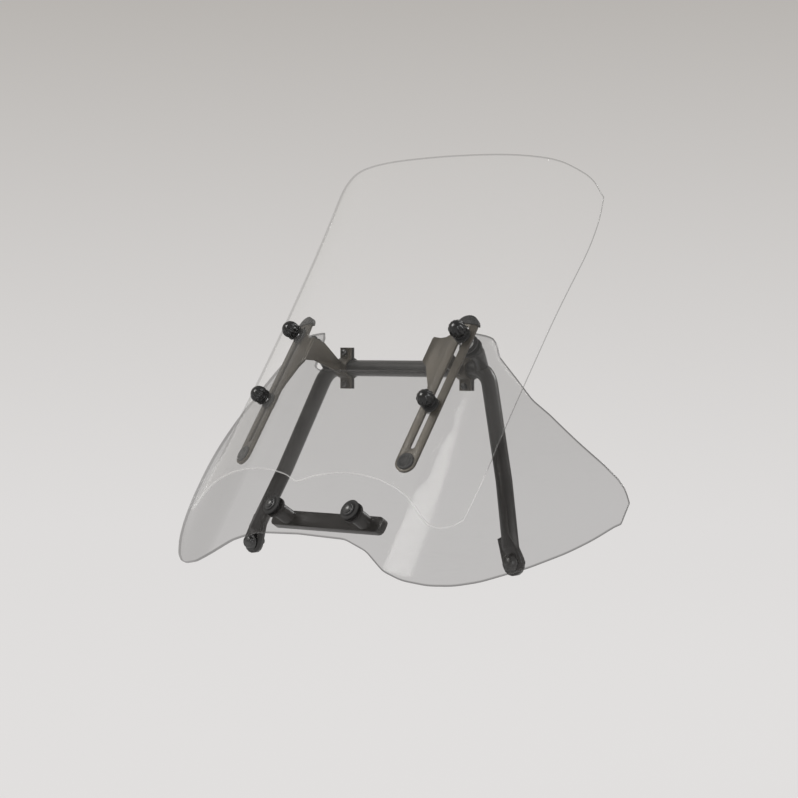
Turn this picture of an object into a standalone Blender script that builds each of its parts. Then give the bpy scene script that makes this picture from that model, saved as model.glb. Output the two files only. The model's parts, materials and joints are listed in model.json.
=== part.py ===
"""Windshield screen of a touring motorcycle: a clear add-on screen that slides in two slotted arms and is
held by four hand knobs. The arms are clamped to the legs of a tubular hoop, which also carries a smoked lower
deflector on rubber grommets.

Axes: -Y is the way the motorcycle drives, +X is the rider's left, +Z is up. The origin lies midway between
the hoop's two feet, on their mounting faces. Metres.
"""

import math

import bmesh
import bpy
from mathutils import Matrix, Vector

# Driving dimensions of the whole
FOOT_SPACING = 0.406  # between the bolts of the hoop's feet
KNOB_SPACING = 0.260  # between the upper knobs' heads
KNOB_HEIGHT = 0.240  # the upper knobs' heads over the feet
KNOB_FORWARD = 0.012  # and how far they stand in front of the mounting faces
LEAN = math.radians(33.0)  # of arms and clear screen, back from the vertical
ARM_TWIST = math.radians(13.0)  # each arm's face turns outward by this

# Clear screen
SCREEN_THICKNESS = 0.003
SCREEN_TOP = 0.220  # along the slope, over the upper knobs
SCREEN_CROWN = 0.003  # the round part of the section's drop between its middle and the knobs
SCREEN_HOLLOW = 0.15  # curvature along the slope, 1/m, that brings top and bottom forward

# Knobs, from the head's middle backwards along the knob's axis
KNOB_PITCH = 0.085  # upper to lower knob, along the slope
KNOB_RADIUS = 0.0095
KNOB_SEAT = 0.0062  # head's middle to the back of its flange
STUD_RADIUS = 0.0025
WASHER_THICKNESS = 0.0010
BUSH_THICKNESS = 0.0025
BUSH_RADIUS = 0.009

# Arms
ARM_WIDTH = 0.024
ARM_THICKNESS = 0.003
ARM_TOP = 0.0235  # over the upper knobs, along the slope
BUFFER_DOWN = 0.1527  # foot buffer, under the upper knobs
BUFFER_RADIUS = 0.0095
SLOT_WIDTH = 0.006
SLIDE_UP = 0.005  # travel of the clear screen from where it stands
SLIDE_DOWN = 0.045
TAB_REACH = ARM_WIDTH / 2 + 0.022  # arm's middle to the fold at the tab's inner edge
TAB_TOP = -0.006
TAB_BOTTOM = -0.036
SLOT_NUT = (0.014, 0.016, 0.0026)  # across, along and thick

# Hoop
HOOP_RADIUS = 0.009
HOOP_HALF_WIDTH = KNOB_SPACING / 2 - 0.006  # at the crossbar's corners
HOOP_CORNER = (0.040, 0.197)  # back and up of the crossbar
HOOP_KNEE = (0.171, 0.016, 0.082)  # where a leg bends a little
HOOP_BEND = 0.026
FOOT_WIDTH = 0.026
FOOT_THICKNESS = 0.006
FOOT_BOLT_RADIUS = 0.004
CLAMP_LENGTH = 0.016  # along the crossbar
CLAMP_WALL = 0.0025
CLAMP_SPLIT = 0.0008  # half the gap between the clamp's halves
CLAMP_EAR = 0.011
CLAMP_BOLT = 0.002

# Smoked deflector
SMOKE_THICKNESS = 0.0035
SMOKE_CREASE = 0.138  # half width of the front panel
SMOKE_BULGE = 0.009  # front panel's middle in front of its creases
SMOKE_SLOPE = 0.625  # back per up
SMOKE_BACK = -0.1225  # the creases, level with the feet
WING_SWEEP = 0.34  # back per outward, at the crease
WING_CURL = 1.2  # and what it gains outward, 1/m
EAR_BOLT = (KNOB_SPACING / 2 - 0.0065, 0.2215)  # sideways and up
LOW_BOLT = (0.061, 0.051)
GROMMET_RADIUS = 0.0115
GROMMET_HUB = 0.0075
BRACKET_LENGTH = 0.170

GAP = 0.0003  # between pieces that touch
RUN = 0.0004  # round a stud in its hole
SIDES = {"left": 1.0, "right": -1.0}

UP_SLOPE = Vector((0.0, math.sin(LEAN), math.cos(LEAN)))
FORWARD = Vector((0.0, -math.cos(LEAN), math.sin(LEAN)))
ACROSS = Vector((1.0, 0.0, 0.0))
KNOB_MIDDLE = Vector((0.0, -KNOB_FORWARD, KNOB_HEIGHT))

# Stations along a knob's axis, from the head's middle
SCREEN_FACE = -(KNOB_SEAT + WASHER_THICKNESS + 2 * GAP)
SCREEN_MIDDLE = SCREEN_FACE - GAP - SCREEN_THICKNESS / 2
BUSH_FACE = SCREEN_MIDDLE - SCREEN_THICKNESS / 2 - 2 * GAP
ARM_FACE = BUSH_FACE - BUSH_THICKNESS - GAP
ARM_BACK = ARM_FACE - ARM_THICKNESS
NUT_FACE = ARM_BACK - GAP
STUD_END = NUT_FACE - SLOT_NUT[2]


# ---------------------------------------------------------------- helpers

def clear_scene():
    for thing in list(bpy.data.objects):
        bpy.data.objects.remove(thing, do_unlink=True)


def finish(name, colour, roughness, metallic, alpha=1.0):
    made = bpy.data.materials.new(name)
    made.use_nodes = True
    shader = made.node_tree.nodes["Principled BSDF"]
    shader.inputs["Base Color"].default_value = (*colour, 1.0)
    shader.inputs["Roughness"].default_value = roughness
    shader.inputs["Metallic"].default_value = metallic
    shader.inputs["Alpha"].default_value = alpha
    return made


def pose(origin, z_axis, y_hint):
    """The matrix of a frame at origin with the given z axis and a y axis near y_hint."""
    z_axis = z_axis.normalized()
    x_axis = y_hint.cross(z_axis).normalized()
    y_axis = z_axis.cross(x_axis)
    turn = Matrix((x_axis, y_axis, z_axis)).transposed().to_4x4()
    return Matrix.Translation(origin) @ turn


def add(name, bm, material, matrix=None, smooth=True):
    mesh = bpy.data.meshes.new(name)
    bmesh.ops.recalc_face_normals(bm, faces=bm.faces)
    bm.to_mesh(mesh)
    bm.free()
    thing = bpy.data.objects.new(name, mesh)
    bpy.context.scene.collection.objects.link(thing)
    thing.matrix_world = matrix or Matrix()
    if smooth:
        mesh.shade_smooth()
        mesh.set_sharp_from_angle(angle=math.radians(35))
    if material:
        mesh.materials.append(material)
    return thing


def hide(cutter):
    cutter.hide_render = True
    cutter.display_type = "WIRE"
    return cutter


def boolean(thing, other, operation="DIFFERENCE"):
    cut = thing.modifiers.new(other.name, "BOOLEAN")
    cut.operation = operation
    cut.object = hide(other)


def turned(name, profile, material, matrix, sides=24):
    """A closed (radius, height) profile turned round the frame's z axis."""
    bm = bmesh.new()
    points = [bm.verts.new((radius, 0.0, height)) for radius, height in profile]
    edges = [bm.edges.new((points[i], points[(i + 1) % len(points)])) for i in range(len(points))]
    bmesh.ops.spin(bm, geom=points + edges, cent=(0, 0, 0), axis=(0, 0, 1), angle=2 * math.pi,
                   steps=sides, use_merge=True)
    bmesh.ops.remove_doubles(bm, verts=bm.verts, dist=1e-6)
    bmesh.ops.dissolve_degenerate(bm, edges=bm.edges, dist=1e-6)
    return add(name, bm, material, matrix)


def rod(name, radius, low, high, material, matrix, sides=20):
    """A plain round bar along the frame's z axis."""
    bm = bmesh.new()
    bmesh.ops.create_cone(bm, cap_ends=True, segments=sides, radius1=radius, radius2=radius, depth=high - low,
                          matrix=Matrix.Translation((0, 0, (low + high) / 2)))
    return add(name, bm, material, matrix)


def slab(name, outline, low, high, material, matrix, smooth=False):
    """An (x, y) outline drawn out along the frame's z axis."""
    bm = bmesh.new()
    face = bm.faces.new([bm.verts.new((x, y, low)) for x, y in outline])
    grown = bmesh.ops.extrude_face_region(bm, geom=[face])
    moved = [part for part in grown["geom"] if isinstance(part, bmesh.types.BMVert)]
    bmesh.ops.translate(bm, verts=moved, vec=(0, 0, high - low))
    return add(name, bm, material, matrix, smooth)


def arc(centre, radius, start, end, steps=8):
    """Points on a circle, from one angle to another, in degrees."""
    turn = [math.radians(start + (end - start) * i / steps) for i in range(steps + 1)]
    return [(centre[0] + radius * math.cos(t), centre[1] + radius * math.sin(t)) for t in turn]


def obround(width, low, high):
    """A slot's outline, round at both ends, along y."""
    r = width / 2
    return arc((0, high - r), r, 0, 180) + arc((0, low + r), r, 180, 360)


def rounded_bar(half_x, half_y, r, steps=3):
    corners = ((half_x - r, half_y - r, 0), (r - half_x, half_y - r, 90),
               (r - half_x, r - half_y, 180), (half_x - r, r - half_y, 270))
    return [point for x, y, start in corners for point in arc((x, y), r, start, start + 90, steps)]


def level(points, x):
    """The height of an outline given by (x, height) points, eased between them."""
    for (x0, y0), (x1, y1) in zip(points, points[1:]):
        if x <= x1:
            t = (x - x0) / (x1 - x0)
            return y0 + (y1 - y0) * t
    return points[-1][1]


def sheet(name, stations, rows, place, thickness, material):
    """A curved sheet over a grid: place(x, t) gives its middle surface, t from 0 at the bottom to 1."""
    bm = bmesh.new()
    columns = [[bm.verts.new(place(x, t / rows)) for t in range(rows + 1)] for x in stations]
    for left, right in zip(columns, columns[1:]):
        for t in range(rows):
            bm.faces.new((left[t], right[t], right[t + 1], left[t + 1]))
    thing = add(name, bm, material)
    wall = thing.modifiers.new("wall", "SOLIDIFY")
    wall.thickness = thickness
    wall.offset = 0.0
    wall.use_even_offset = False
    return thing


def spread(points, longest):
    """The given stations, with more between them where they lie far apart."""
    found = [points[0]]
    for before, after in zip(points, points[1:]):
        parts = max(1, math.ceil((after - before) / longest - 1e-6))
        found += [before + (after - before) * i / parts for i in range(1, parts + 1)]
    return found


# ---------------------------------------------------------------- where things are

def knob_axis(side):
    """The way an arm's face looks, which is also its knobs' axis."""
    return (FORWARD * math.cos(ARM_TWIST) + ACROSS * side * math.sin(ARM_TWIST)).normalized()


def knob_frame(side, up=0.0):
    """z out of the knob's head, y up the slope, x across the arm."""
    middle = KNOB_MIDDLE + ACROSS * side * KNOB_SPACING / 2 + UP_SLOPE * up
    return pose(middle, knob_axis(side), UP_SLOPE)


def inboard(side):
    """The sign of x in a knob's frame that points to the middle of the motorcycle."""
    across = knob_frame(side).to_3x3() @ Vector((1, 0, 0))
    return -1.0 if across.x * side > 0 else 1.0


KNOB_PLACES = [(which, side, height, up) for height, up in (("upper", 0.0), ("lower", -KNOB_PITCH))
               for which, side in SIDES.items()]


# ---------------------------------------------------------------- clear screen

HOLE_ACROSS = KNOB_SPACING / 2 + SCREEN_MIDDLE * math.sin(ARM_TWIST)
HOLE_DROP = SCREEN_MIDDLE * math.cos(ARM_TWIST)
# The section falls by crown * s + curl * s^2, with s the squared share of the way to the holes, so that it
# lies square to the knobs at the holes.
SCREEN_CURL = (math.tan(ARM_TWIST) * HOLE_ACROSS - 2 * SCREEN_CROWN) / 4

SCREEN_UPPER_EDGE = [(0.0, 0.0), (0.150, -0.0015), (0.166, -0.003), (0.181, -0.007), (0.193, -0.011), (0.202, -0.018),
                     (0.209, -0.030)]
SCREEN_LOWER_EDGE = [(0.0, -0.192), (0.008, -0.189), (0.022, -0.1835), (0.045, -0.179), (0.067, -0.177),
                     (0.090, -0.1775), (0.115, -0.1805), (0.138, -0.1865), (0.155, -0.1935), (0.168, -0.2025),
                     (0.178, -0.2115), (0.186, -0.2165), (0.196, -0.2155), (0.2045, -0.208), (0.209, -0.198)]
SCREEN_WAIST = [(-0.22, 0.990), (-0.16, 0.995), (-0.09, 0.985), (-0.03, 0.985), (0.05, 0.990), (0.12, 1.010),
                (0.15, 1.018), (0.19, 1.000), (0.22, 0.972)]


def screen_point(x, t):
    side = abs(x)
    high = SCREEN_TOP + level(SCREEN_UPPER_EDGE, side)
    low = level(SCREEN_LOWER_EDGE, side)
    along = low + (high - low) * t
    across = x * level(SCREEN_WAIST, along)
    share = (across / HOLE_ACROSS) ** 2
    drop = SCREEN_CROWN * (share - 1) + SCREEN_CURL * (share ** 2 - 1)
    middle = KNOB_PITCH / 2
    hollow = SCREEN_HOLLOW * ((along + middle) ** 2 - middle ** 2)
    return KNOB_MIDDLE + ACROSS * across + UP_SLOPE * along + FORWARD * (HOLE_DROP - drop + hollow)


def make_clear_screen(material):
    half = spread([x for x, _ in SCREEN_LOWER_EDGE], 0.016)
    stations = [-x for x in reversed(half[1:])] + half
    screen = sheet("clear_screen", stations, 20, screen_point, SCREEN_THICKNESS, material)
    for which, side, height, up in KNOB_PLACES:
        hole = rod(f"screen_hole_{height}_{which}", STUD_RADIUS + 2 * RUN, SCREEN_MIDDLE - 0.01,
                   SCREEN_MIDDLE + 0.01, None, knob_frame(side, up))
        boolean(screen, hole)


# ---------------------------------------------------------------- knobs and what they clamp

def make_knob(which, side, height, up, plastic, steel, rubber):
    frame = knob_frame(side, up)
    pivot = bpy.data.objects.new(f"{height}_{which}_knob_axis", None)
    bpy.context.scene.collection.objects.link(pivot)
    pivot.matrix_world = frame
    r = KNOB_RADIUS
    bore = STUD_RADIUS + RUN
    ball = [(r * math.sin(math.radians(a)), r * math.cos(math.radians(a))) for a in range(0, 121, 15)]
    rim = 0.0088
    head = ball + [(rim, -0.0051), (rim, -KNOB_SEAT),
                   (bore, -KNOB_SEAT), (bore, -0.004), (0.0, -0.004)]
    parts = [
        turned(f"knob_{height}_{which}", head, plastic, frame),
        turned(f"knob_washer_{height}_{which}",
               [(bore, -KNOB_SEAT - GAP), (BUSH_RADIUS, -KNOB_SEAT - GAP), (BUSH_RADIUS, SCREEN_FACE + GAP),
                (bore, SCREEN_FACE + GAP)], rubber, frame),
        rod(f"knob_stud_{height}_{which}", STUD_RADIUS, STUD_END, -0.0044, steel, frame, 16),
    ]
    for part in parts:
        part.parent = pivot
        part.matrix_parent_inverse = frame.inverted()


def make_clamped(which, side, height, up, rubber, steel):
    """The bush between screen and arm, and the nut that slides behind the arm with its key in the slot."""
    frame = knob_frame(side, up)
    bore = STUD_RADIUS + RUN
    turned(f"screen_bush_{height}_{which}",
           [(bore, BUSH_FACE), (BUSH_RADIUS, BUSH_FACE), (BUSH_RADIUS, BUSH_FACE - BUSH_THICKNESS),
            (bore, BUSH_FACE - BUSH_THICKNESS)], rubber, frame)
    wide, long, thick = SLOT_NUT
    nut = slab(f"slot_nut_{height}_{which}", rounded_bar(wide / 2, long / 2, 0.003), NUT_FACE - thick, NUT_FACE,
               steel, frame)
    key = slab(f"nut_key_{height}_{which}", rounded_bar(SLOT_WIDTH / 2 - GAP, NUT_KEY / 2, 0.0005),
               NUT_FACE - thick / 2, ARM_FACE - GAP, None, frame)
    boolean(nut, key, "UNION")
    boolean(nut, rod(f"nut_bore_{height}_{which}", bore, STUD_END - 0.01, ARM_FACE + 0.01, None, frame, 16))


NUT_KEY = 0.008


# ---------------------------------------------------------------- hoop

def fillet(points, radius, steps=6):
    """The way through points, with each inner corner rounded to the radius."""
    way = [points[0]]
    for before, corner, after in zip(points, points[1:], points[2:]):
        into = (before - corner).normalized()
        out = (after - corner).normalized()
        half = into.angle(out) / 2
        back = radius / math.tan(half)
        centre = corner + (into + out).normalized() * radius / math.sin(half)
        start = corner + into * back - centre
        end = corner + out * back - centre
        angle = start.angle(end)
        for i in range(steps + 1):
            t = i / steps
            way.append(centre + (start * math.sin((1 - t) * angle) + end * math.sin(t * angle)) / math.sin(angle))
    return way + [points[-1]]


def hoop_corner(side):
    return Vector((side * HOOP_HALF_WIDTH, *HOOP_CORNER))


def hoop_knee(side):
    return Vector((side * HOOP_KNEE[0], *HOOP_KNEE[1:]))


def hoop_foot(side):
    """Middle of a foot plate's bolt hole."""
    return Vector((side * FOOT_SPACING / 2, -FOOT_THICKNESS / 2, 0.0))


def hoop_way():
    half = [hoop_foot(1) + Vector((-0.004, 0.0, 0.014)), hoop_knee(1), hoop_corner(1)]
    other = [Vector((-p.x, p.y, p.z)) for p in reversed(half)]
    return fillet(half + other, HOOP_BEND)


def tube(name, radius, material, resolution):
    way = bpy.data.curves.new(name, "CURVE")
    way.dimensions = "3D"
    way.bevel_depth = radius
    way.bevel_resolution = resolution
    way.use_fill_caps = True
    way.twist_mode = "MINIMUM"
    spline = way.splines.new("POLY")
    points = hoop_way()
    spline.points.add(len(points) - 1)
    for point, place in zip(spline.points, points):
        point.co = (*place, 1.0)
    curve = bpy.data.objects.new(name + "_way", way)
    bpy.context.scene.collection.objects.link(curve)
    bpy.context.view_layer.update()
    mesh = bpy.data.meshes.new_from_object(curve)
    bpy.data.objects.remove(curve, do_unlink=True)
    bm = bmesh.new()
    bm.from_mesh(mesh)
    bpy.data.meshes.remove(mesh)
    bmesh.ops.remove_doubles(bm, verts=bm.verts, dist=1e-6)
    return add(name, bm, material)


def foot_frame(side):
    """z backwards, out of the mounting face; y up."""
    return pose(hoop_foot(side), Vector((0, 1, 0)), Vector((0, 0, 1)))


def make_hoop(paint, steel):
    hoop = tube("hoop", HOOP_RADIUS, paint, 3)
    for which, side in SIDES.items():
        frame = foot_frame(side)
        lean = math.radians(24) * (-1 if frame.to_3x3().col[0].x * side < 0 else 1)
        frame = frame @ Matrix.Rotation(lean, 4, "Z")
        half = FOOT_WIDTH / 2
        outline = arc((0, 0), half, 180, 360) + [(HOOP_RADIUS, 0.030), (-HOOP_RADIUS, 0.030)]
        foot = slab(f"foot_{which}", outline, -FOOT_THICKNESS / 2, FOOT_THICKNESS / 2, None, frame)
        boolean(hoop, foot, "UNION")
        boolean(hoop, rod(f"foot_hole_{which}", FOOT_BOLT_RADIUS + RUN, -0.02, 0.02, None, frame))
        back, front = FOOT_THICKNESS / 2, -FOOT_THICKNESS / 2
        r = FOOT_BOLT_RADIUS
        head = [(0.0, front - 0.0075), (0.0062, front - 0.0075), (0.0068, front - 0.0065), (0.0068, front - 0.002),
                (0.0090, front - 0.0018), (0.0090, front - GAP), (r, front - GAP), (r, back + 0.010),
                (0.0, back + 0.010)]
        turned(f"foot_bolt_{which}", head, steel, frame, 18)


# ---------------------------------------------------------------- arms with tab, fold and clamp

def web_frame(side):
    """x back, y up and z along the crossbar, with its origin on the crossbar's axis where the web meets it."""
    edge = knob_frame(side) @ Vector((inboard(side) * TAB_REACH, TAB_BOTTOM, (ARM_FACE + ARM_BACK) / 2))
    return pose(Vector((edge.x, *HOOP_CORNER)), Vector((1, 0, 0)), Vector((0, 0, 1)))


def clamp_section(way):
    """One half of the clamp round the crossbar: its front one for way -1, its back one for way 1."""
    inner = HOOP_RADIUS + GAP
    outer = inner + CLAMP_WALL
    face = CLAMP_SPLIT
    back = face + CLAMP_WALL
    tip = outer + CLAMP_EAR
    inside = math.degrees(math.asin(face / inner))
    outside = math.degrees(math.asin(back / outer))
    points = [(face, tip), (back, tip)] + arc((0, 0), outer, 90 - outside, outside - 90, 12)
    points += [(back, -tip), (face, -tip)] + arc((0, 0), inner, inside - 90, 90 - inside, 12)
    return [(x * way, y) for x, y in points]


CLAMP_BOLT_UP = HOOP_RADIUS + GAP + CLAMP_WALL + CLAMP_EAR / 2 + 0.0005


def make_arm(which, side, paint):
    """A slotted arm with its tab, the web that runs back from the tab, and the front half of the clamp."""
    frame = knob_frame(side)
    inward = inboard(side)
    half = ARM_WIDTH / 2
    bottom = -BUFFER_DOWN
    tab = [(half + 0.001, TAB_TOP + 0.008), (half + 0.007, TAB_TOP + 0.002), (half + 0.013, TAB_TOP),
           (TAB_REACH, TAB_TOP), (TAB_REACH, TAB_BOTTOM), (TAB_REACH - 0.007, TAB_BOTTOM - 0.006),
           (half + 0.009, TAB_BOTTOM - 0.017), (half + 0.003, TAB_BOTTOM - 0.027), (half, TAB_BOTTOM - 0.036)]
    outline = arc((0, ARM_TOP - half), half, 180, 0, 12) + tab + arc((0, bottom), half, 0, -180, 12)
    arm = slab(f"arm_{which}", [(x * inward, y) for x, y in outline], ARM_BACK, ARM_FACE, paint, frame)

    web = web_frame(side)
    deep = (ARM_FACE + ARM_BACK) / 2 + ARM_THICKNESS * 0.2
    edge = [web.inverted() @ frame @ Vector((inward * TAB_REACH, y, deep)) for y in (TAB_TOP - 0.001, TAB_BOTTOM + 0.001)]
    reach = -(HOOP_RADIUS + GAP + CLAMP_WALL / 2)
    outline = [(edge[0].x, edge[0].y), (edge[0].x + 0.014, edge[0].y - 0.005), (reach, 0.006), (reach, -0.006),
               (edge[1].x + 0.016, edge[1].y - 0.001), (edge[1].x, edge[1].y)]
    boolean(arm, slab(f"web_{which}", outline, -ARM_THICKNESS / 2, ARM_THICKNESS / 2, None, web), "UNION")
    shell = slab(f"clamp_front_{which}", clamp_section(-1), -CLAMP_LENGTH / 2, CLAMP_LENGTH / 2, None, web)
    boolean(arm, shell, "UNION")

    slot = slab(f"slot_{which}", obround(SLOT_WIDTH, SLOT_BOTTOM, SLOT_TOP), ARM_BACK - 0.002, ARM_FACE + 0.002, None,
                frame)
    boolean(arm, slot)
    boolean(arm, rod(f"buffer_hole_{which}", BUFFER_STEM + GAP, ARM_BACK - 0.002, ARM_FACE + 0.002, None,
                     frame @ Matrix.Translation((0, bottom, 0))))
    for name, up in CLAMP_BOLTS:
        boolean(arm, rod(f"front_hole_{name}_{which}", CLAMP_BOLT + RUN, 0.0, 0.012, None, bolt_frame(side, up), 16))


def bolt_frame(side, up):
    """z forward, from the clamp's parting plane."""
    return web_frame(side) @ Matrix.Translation((0, up, 0)) @ Matrix.Rotation(-math.pi / 2, 4, "Y")


SLOT_TOP = SLIDE_UP + NUT_KEY / 2 + SLOT_WIDTH / 2 + GAP
SLOT_BOTTOM = -(KNOB_PITCH + SLIDE_DOWN + NUT_KEY / 2 + SLOT_WIDTH / 2 + GAP)
BUFFER_STEM = 0.004
CLAMP_BOLTS = (("upper", CLAMP_BOLT_UP), ("lower", -CLAMP_BOLT_UP))


def make_clamp(which, side, paint, steel):
    """The clamp's back half and its two bolts, each with the nut behind."""
    web = web_frame(side)
    back = slab(f"clamp_back_{which}", clamp_section(1), -CLAMP_LENGTH / 2, CLAMP_LENGTH / 2, paint, web)
    r = CLAMP_BOLT
    face = CLAMP_SPLIT + CLAMP_WALL
    for name, up in CLAMP_BOLTS:
        frame = bolt_frame(side, up)
        boolean(back, rod(f"back_hole_{name}_{which}", r + RUN, -0.012, 0.0, None, frame, 16))
        profile = [(0.0, face + 0.0038), (0.0026, face + 0.0036), (0.0036, face + 0.0026), (0.0036, face + GAP),
                   (r, face + GAP), (r, -face - GAP), (0.0036, -face - GAP), (0.0036, -face - 0.0032),
                   (0.0, -face - 0.0032)]
        turned(f"clamp_bolt_{name}_{which}", profile, steel, frame, 16)


def make_arm_rubbers(which, side, rubber):
    """A buffer button in the arm's foot, and a cap over its top end."""
    frame = knob_frame(side)
    r, stem = BUFFER_RADIUS, BUFFER_STEM
    button = [(0.0, ARM_FACE + 0.0012), (0.0062, ARM_FACE + 0.0012), (0.0066, ARM_FACE + 0.0020),
              (0.0088, ARM_FACE + 0.0020), (r, ARM_FACE + 0.0012), (r, ARM_FACE + GAP), (stem, ARM_FACE + GAP),
              (stem, ARM_BACK - GAP), (0.0058, ARM_BACK - GAP), (0.0050, ARM_BACK - 0.0025), (0.0, ARM_BACK - 0.0025)]
    turned(f"arm_buffer_{which}", button, rubber, frame @ Matrix.Translation((0, -BUFFER_DOWN, 0)))
    half = ARM_WIDTH / 2
    wall = 0.0015
    outer = arc((0, ARM_TOP - half), half + wall, 15, 165, 12)
    cap = slab(f"arm_cap_{which}", outer, ARM_BACK - wall, ARM_FACE + wall, rubber, frame)
    inner = arc((0, ARM_TOP - half), half + GAP, -90, 270, 32)[:-1]
    boolean(cap, slab(f"cap_pocket_{which}", inner, ARM_BACK - GAP, ARM_FACE + GAP, None, frame))


# ---------------------------------------------------------------- smoked deflector and its fixings

SMOKE_UPPER_EDGE = [(0.0, 0.194), (0.088, 0.194), (0.099, 0.197), (0.1035, 0.208), (0.1055, 0.226), (0.110, 0.2350),
                    (0.125, 0.2335), (0.138, 0.2315), (0.1465, 0.2290), (0.1535, 0.2225), (0.161, 0.2105),
                    (0.189, 0.187), (0.2125, 0.166), (0.2345, 0.151), (0.270, 0.1235), (0.297, 0.103),
                    (0.314, 0.0885), (0.324, 0.077), (0.330, 0.065)]
SMOKE_LOWER_EDGE = [(0.0, 0.026), (0.070, 0.024), (0.105, 0.014), (0.138, -0.004), (0.161, -0.012), (0.189, -0.016),
                    (0.2125, -0.0155), (0.2345, -0.011), (0.270, 0.003), (0.297, 0.018), (0.314, 0.031),
                    (0.330, 0.048)]


def smoke_section(x):
    """How far back the sheet lies at x, from the line of its creases."""
    side = abs(x)
    if side <= SMOKE_CREASE:
        return -SMOKE_BULGE * (1 - (side / SMOKE_CREASE) ** 2)
    out = side - SMOKE_CREASE
    return WING_SWEEP * out + WING_CURL * out ** 2


def smoke_at(x, z):
    return Vector((x, SMOKE_BACK + SMOKE_SLOPE * z + smoke_section(x), z))


def smoke_point(x, t):
    low = level(SMOKE_LOWER_EDGE, abs(x))
    high = level(SMOKE_UPPER_EDGE, abs(x))
    return smoke_at(x, low + (high - low) * t)


def smoke_frame(side, place):
    """Frame on the deflector at a bolt: z out of its front, y up."""
    x, z = place
    step = 0.001
    along = smoke_at(side * x + step, z) - smoke_at(side * x - step, z)
    up = smoke_at(side * x, z + step) - smoke_at(side * x, z - step)
    normal = up.cross(along).normalized()
    if normal.y > 0:
        normal.negate()
    return pose(smoke_at(side * x, z), normal, Vector((0, 0, 1)))


def make_deflector(material):
    half = spread([x for x, _ in SMOKE_UPPER_EDGE], 0.016)
    stations = [-x for x in reversed(half[1:])] + half
    sheet_object = sheet("smoked_deflector", stations, 14, smoke_point, SMOKE_THICKNESS, material)
    for which, side in SIDES.items():
        for level_name, place in (("ear", EAR_BOLT), ("low", LOW_BOLT)):
            hole = rod(f"{level_name}_hole_{which}", GROMMET_HUB + RUN, -0.01, 0.01, None, smoke_frame(side, place))
            boolean(sheet_object, hole)


GROMMET_FRONT = SMOKE_THICKNESS / 2 + RUN + 0.0026
GROMMET_BACK = -(SMOKE_THICKNESS / 2 + RUN + 0.0045)
SMOKE_BOLT = 0.0025


def make_fixing(prefix, which, frame, rubber, steel, reach):
    """Grommet in the deflector, washer and button-head bolt."""
    bore = SMOKE_BOLT + RUN
    clear = SMOKE_THICKNESS / 2 + RUN
    r = GROMMET_RADIUS
    turned(f"{prefix}_grommet_{which}",
           [(bore, GROMMET_FRONT), (r - 0.0015, GROMMET_FRONT), (r, GROMMET_FRONT - 0.001), (r, clear),
            (GROMMET_HUB, clear), (GROMMET_HUB, -clear), (r, -clear), (r, GROMMET_BACK + 0.001),
            (r - 0.0015, GROMMET_BACK), (bore, GROMMET_BACK)], rubber, frame)
    seat = GROMMET_FRONT + GAP
    turned(f"{prefix}_washer_{which}", [(bore, seat), (0.0075, seat), (0.0075, seat + 0.001), (bore, seat + 0.001)],
           steel, frame)
    under = seat + 0.001 + GAP
    head = [(0.0, under + 0.0024), (0.0028, under + 0.0022), (0.0044, under + 0.0015), (0.0052, under + 0.0006),
            (0.0052, under), (SMOKE_BOLT, under), (SMOKE_BOLT, -reach), (0.0, -reach)]
    turned(f"{prefix}_bolt_{which}", head, steel, frame, 18)


def make_ear_boss(which, side, paint, cutter):
    """A tapering boss from the hoop's corner to the back of the ear's grommet."""
    frame = smoke_frame(side, EAR_BOLT)
    root = hoop_corner(side) + Vector((-0.006 * side, 0.0, -0.004))
    top = GROMMET_BACK - GAP
    rings = []
    bm = bmesh.new()
    for depth, radius in ((top, 0.0095), (top - 0.004, 0.0093), (top - 0.009, 0.0082)):
        rings.append((frame @ Matrix.Translation((0, 0, depth)), radius))
    rings.append((pose(root, (frame.translation - root), frame.to_3x3().col[1]), 0.0072))
    loops = []
    for matrix, radius in rings:
        ring = bmesh.ops.create_circle(bm, cap_ends=False, segments=24, radius=radius, matrix=matrix)
        loops.append(ring["verts"])
    for first, second in zip(loops, loops[1:]):
        for i in range(24):
            bm.faces.new((first[i], first[(i + 1) % 24], second[(i + 1) % 24], second[i]))
    bm.faces.new(loops[0])
    bm.faces.new(list(reversed(loops[-1])))
    boss = add(f"ear_boss_{which}", bm, paint)
    boolean(boss, cutter)
    boolean(boss, rod(f"boss_bore_{which}", SMOKE_BOLT + RUN, top - 0.012, top + 0.01, None, frame, 16))


def make_lower_bracket(paint):
    """A flat bar behind the deflector's foot with two bosses for the lower bolts."""
    middle = smoke_at(0.0, LOW_BOLT[1])
    normal = Vector((0, -1, SMOKE_SLOPE)).normalized()
    frame = pose(middle - normal * 0.026, normal, Vector((0, 0, 1)))
    bar = slab("lower_bracket", rounded_bar(BRACKET_LENGTH / 2, 0.009, 0.006), -0.008, 0.0, paint, frame)
    for which, side in SIDES.items():
        fixing = smoke_frame(side, LOW_BOLT)
        boss = rod(f"low_boss_{which}", 0.0085, GROMMET_BACK - GAP - 0.020, GROMMET_BACK - GAP, None, fixing, 24)
        boolean(bar, boss, "UNION")
    back = slab("bracket_back", rounded_bar(BRACKET_LENGTH, 0.06, 0.006), -0.040, -0.008, None, frame)
    boolean(bar, back)
    for which, side in SIDES.items():
        bore = rod(f"low_bore_{which}", SMOKE_BOLT + RUN, GROMMET_BACK - 0.012, GROMMET_BACK + 0.01, None,
                   smoke_frame(side, LOW_BOLT), 16)
        boolean(bar, bore)


# ---------------------------------------------------------------- the assembly

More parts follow.
